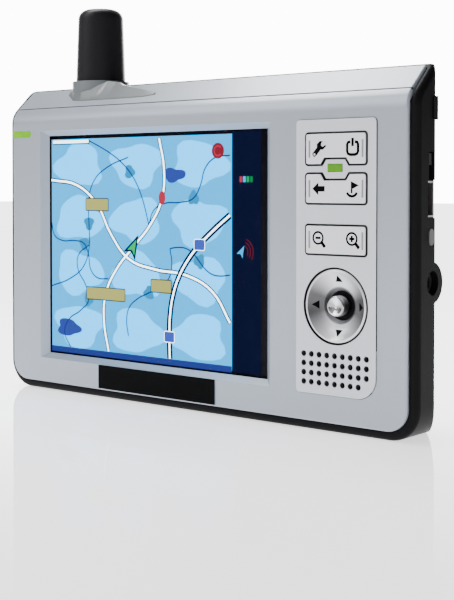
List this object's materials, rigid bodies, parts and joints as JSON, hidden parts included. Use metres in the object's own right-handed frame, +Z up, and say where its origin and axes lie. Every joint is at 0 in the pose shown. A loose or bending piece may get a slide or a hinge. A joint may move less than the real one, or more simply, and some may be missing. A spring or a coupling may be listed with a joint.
{
  "type": "handheld satellite navigation unit",
  "caption": "Pocket navigation unit: silver front with a recessed colour display, rocker keys, a small stick and speaker grille, dark sloped back, and a stub aerial on top.",
  "frame": {"origin": "middle of the unit's footprint, on the surface that it stands on", "axes": "+X to the right as the display is read, +Y from the front to the back, +Z up"},
  "size_m": [0.1286, 0.0251, 0.1009],
  "materials": {
    "shell_silver": "satin silver paint on moulded plastic",
    "shell_dark": "fine-grained dark grey plastic",
    "panel_silver": "lighter silver paint",
    "key_silver": "light silver paint with printed signs",
    "dish_silver": "satin silver",
    "stick_metal": "satin chrome plating",
    "steel": "plain sheet steel",
    "rubber_black": "matt",
    "rubber_grey": "matt silicone",
    "circuit_board": "green solder mask",
    "lens_green": "translucent green",
    "light_green": "translucent bright green",
    "led_body": "clear resin",
    "window_glass": "clear, polished",
    "display": "lit colour display",
    "white_plastic": "plain moulded",
    "flex_film": "amber film with copper tracks",
    "chip_black": "moulded",
    "brass": "turned",
    "battery_foil": "laminated foil pouch",
    "cloth_black": "fine acoustic cloth",
    "paper_cone": "thin pressed film",
    "button_grey": "light grey",
    "card_blue": "dark blue moulded",
    "fairing_silver": "satin silver paint",
    "antenna_dark": "satin with fine grain",
    "ceramic_white": "glazed ceramic with copper bands",
    "screw_steel": "blackened",
    "badge_black": "gloss, left blank",
    "label_film": "printed film, left blank"
  },
  "bodies": {
    "root": {"front_shell": "shell_silver", "rear_shell": "shell_dark", "seam_gasket": "rubber_black", "key_panel": "panel_silver", "nav_dish": "dish_silver", "stick_boot": "rubber_black", "nav_switch": "steel", "key_mat": "rubber_grey", "key_domes": "steel", "key_board": "circuit_board", "status_lens": "lens_green", "status_led": "led_body", "side_light_pipe": "light_green", "side_led": "led_body", "glass_seal": "rubber_black", "window_glass": "window_glass", "lcd_panel": "display", "lcd_backlight": "white_plastic", "lcd_bracket": "steel", "lcd_flex": "flex_film", "flex_connector": "white_plastic", "main_board": "circuit_board", "processor": "chip_black", "memory_chips": "chip_black", "gps_shield": "steel", "antenna_connector": "brass", "battery_cell": "battery_foil", "battery_pad": "rubber_grey", "battery_flex": "flex_film", "speaker_frame": "chip_black", "speaker_cloth": "cloth_black", "speaker_cone": "paper_cone", "speaker_magnet": "steel", "usb_socket": "steel", "audio_jack": "chip_black", "side_switch": "chip_black", "slide_switch": "steel", "card_socket": "steel", "antenna_pedestal": "fairing_silver", "antenna_cap": "antenna_dark", "antenna_element": "ceramic_white", "antenna_feed": "rubber_black", "case_screws": "screw_steel", "board_screws": "screw_steel", "threaded_inserts": "brass", "badge_plate": "badge_black", "rear_label": "label_film"},
    "power_key": {"key_settings_power": "key_silver"},
    "back_key": {"key_back_flag": "key_silver"},
    "zoom_key": {"key_zoom": "key_silver"},
    "stick_press": {"stick_carrier": "steel"},
    "stick_gimbal_ring": {"stick_gimbal": "steel"},
    "stick": {"stick_cap": "stick_metal"},
    "side_button_body": {"side_button": "button_grey"},
    "slide_knob_body": {"slide_knob": "chip_black"},
    "card": {"memory_card": "card_blue"}
  },
  "joints": [
    {"name": "power_key_rock", "type": "hinge", "parent": "root", "child": "power_key", "pos_m": [0.0439, -0.0099, 0.06245], "axis": [0, 0, 1], "range_deg": [-2.5, 2.5], "stiffness_Nm_per_rad": 0.16},
    {"name": "back_key_rock", "type": "hinge", "parent": "root", "child": "back_key", "pos_m": [0.0439, -0.0099, 0.0536], "axis": [0, 0, 1], "range_deg": [-2.5, 2.5], "stiffness_Nm_per_rad": 0.16},
    {"name": "zoom_key_rock", "type": "hinge", "parent": "root", "child": "zoom_key", "pos_m": [0.0439, -0.0099, 0.0424], "axis": [0, 0, 1], "range_deg": [-2.5, 2.5], "stiffness_Nm_per_rad": 0.16},
    {"name": "stick_push", "type": "slide", "parent": "root", "child": "stick_press", "axis": [0, 1, 0], "range_m": [0, 0.0003], "stiffness_N_per_m": 4000},
    {"name": "stick_up_down", "type": "hinge", "parent": "stick_press", "child": "stick_gimbal_ring", "pos_m": [0.04398, -0.0067, 0.028], "axis": [1, 0, 0], "range_deg": [-5, 5], "stiffness_Nm_per_rad": 0.06},
    {"name": "stick_left_right", "type": "hinge", "parent": "stick_gimbal_ring", "child": "stick", "pos_m": [0.04398, -0.0067, 0.028], "axis": [0, 0, 1], "range_deg": [-5, 5], "stiffness_Nm_per_rad": 0.06},
    {"name": "side_button_press", "type": "slide", "parent": "root", "child": "side_button_body", "axis": [1, 0, 0], "range_m": [-0.0005, 0], "stiffness_N_per_m": 3000},
    {"name": "slide_switch_travel", "type": "slide", "parent": "root", "child": "slide_knob_body", "axis": [0, 0, 1], "range_m": [-0.003, 0]},
    {"name": "card_pull", "type": "slide", "parent": "root", "child": "card", "axis": [0, 0, 1], "range_m": [-0.0008, 0.026]}
  ]
}
